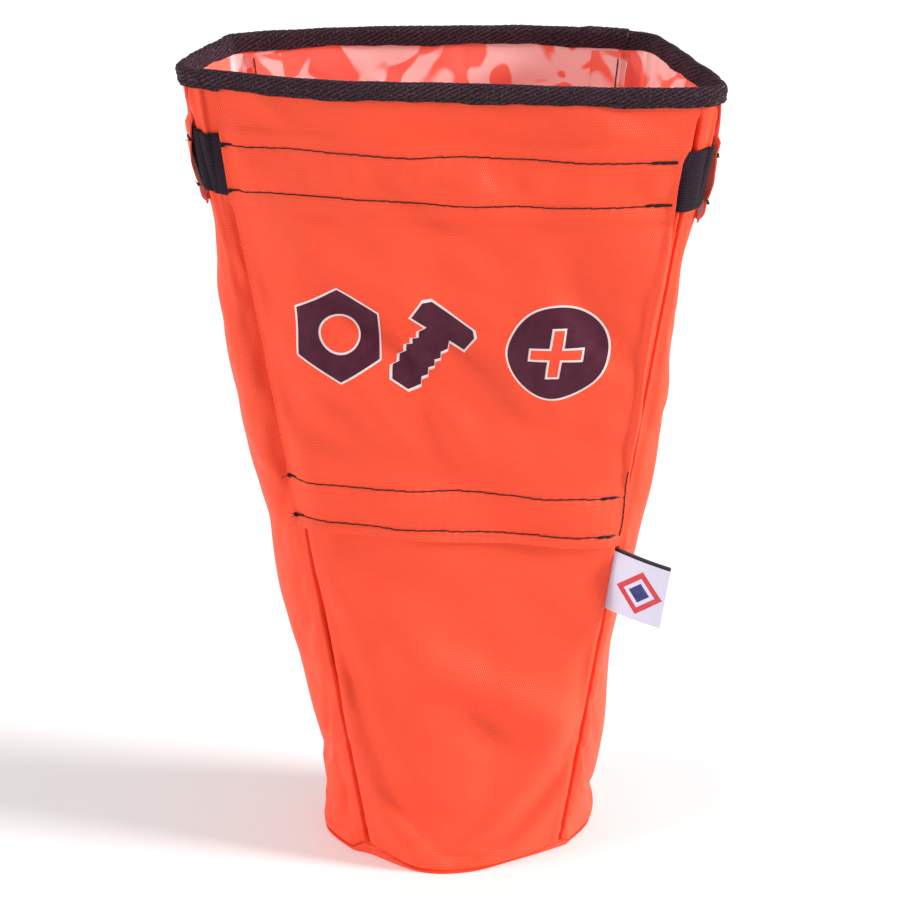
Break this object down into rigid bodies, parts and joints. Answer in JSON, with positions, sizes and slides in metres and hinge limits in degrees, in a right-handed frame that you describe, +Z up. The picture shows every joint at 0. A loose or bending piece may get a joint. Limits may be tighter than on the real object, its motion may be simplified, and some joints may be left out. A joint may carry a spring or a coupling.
{
  "type": "debris collection pouch",
  "caption": "Tapered open-topped pouch of bright coated fabric, with bound rim, webbing band, front apron with hardware emblems, back yoke, side label and sewn base.",
  "frame": {"origin": "centre of the bounding box at floor level, under the middle of the mouth", "axes": "+Z up towards the mouth, -Y out of the front apron, +X to the viewer's right when facing the apron"},
  "size_m": [0.2005, 0.0801, 0.325],
  "materials": {
    "coated_fabric": "satin oxford weave, coated inside",
    "binding_tape": "matt ribbed twill tape",
    "webbing": "matt woven webbing",
    "thread": "bonded sewing thread",
    "emblem_print": "satin heat-transfer film",
    "emblem_outline": "satin heat-transfer film",
    "label_satin": "glossy satin ribbon"
  },
  "bodies": {
    "pouch": {"back_panel": "coated_fabric", "left_gusset": "coated_fabric", "right_gusset": "coated_fabric", "base_panel": "coated_fabric", "rim_binding": "binding_tape", "binding_thread": "thread", "webbing_band": "webbing", "back_yoke": "coated_fabric", "yoke_thread_upper": "thread", "yoke_thread_lower": "thread", "seam_thread_back_left": "thread", "seam_thread_back_right": "thread", "base_seam_thread": "thread"},
    "front_wall": {"front_panel": "coated_fabric", "front_apron": "coated_fabric", "apron_thread_upper": "thread", "apron_thread_lower": "thread", "hem_thread_upper": "thread", "hem_thread_lower": "thread", "hem_thread_side": "thread", "seam_thread_front_left": "thread", "seam_thread_front_right": "thread", "emblem_nut": "emblem_print", "emblem_nut_outline": "emblem_outline", "emblem_bolt": "emblem_print", "emblem_bolt_outline": "emblem_outline", "emblem_screw": "emblem_print", "emblem_screw_outline": "emblem_outline"},
    "label": {"label_tab": "label_satin"}
  },
  "joints": [
    {"name": "front_fold", "type": "hinge", "parent": "pouch", "child": "front_wall", "pos_m": [0, -0.018, 0.0012], "axis": [-1, 0, 0], "range_deg": [0, 4.5], "deforming": ["left_gusset", "right_gusset", "rim_binding", "binding_thread", "webbing_band", "back_yoke", "yoke_thread_upper", "yoke_thread_lower", "base_seam_thread"]},
    {"name": "label_swing", "type": "hinge", "parent": "front_wall", "child": "label", "pos_m": [0.06165, -0.02551, 0.125], "axis": [0.1397, -0.0469, 0.9891], "range_deg": [-100, 40], "stiffness_Nm_per_rad": 0.0006}
  ]
}
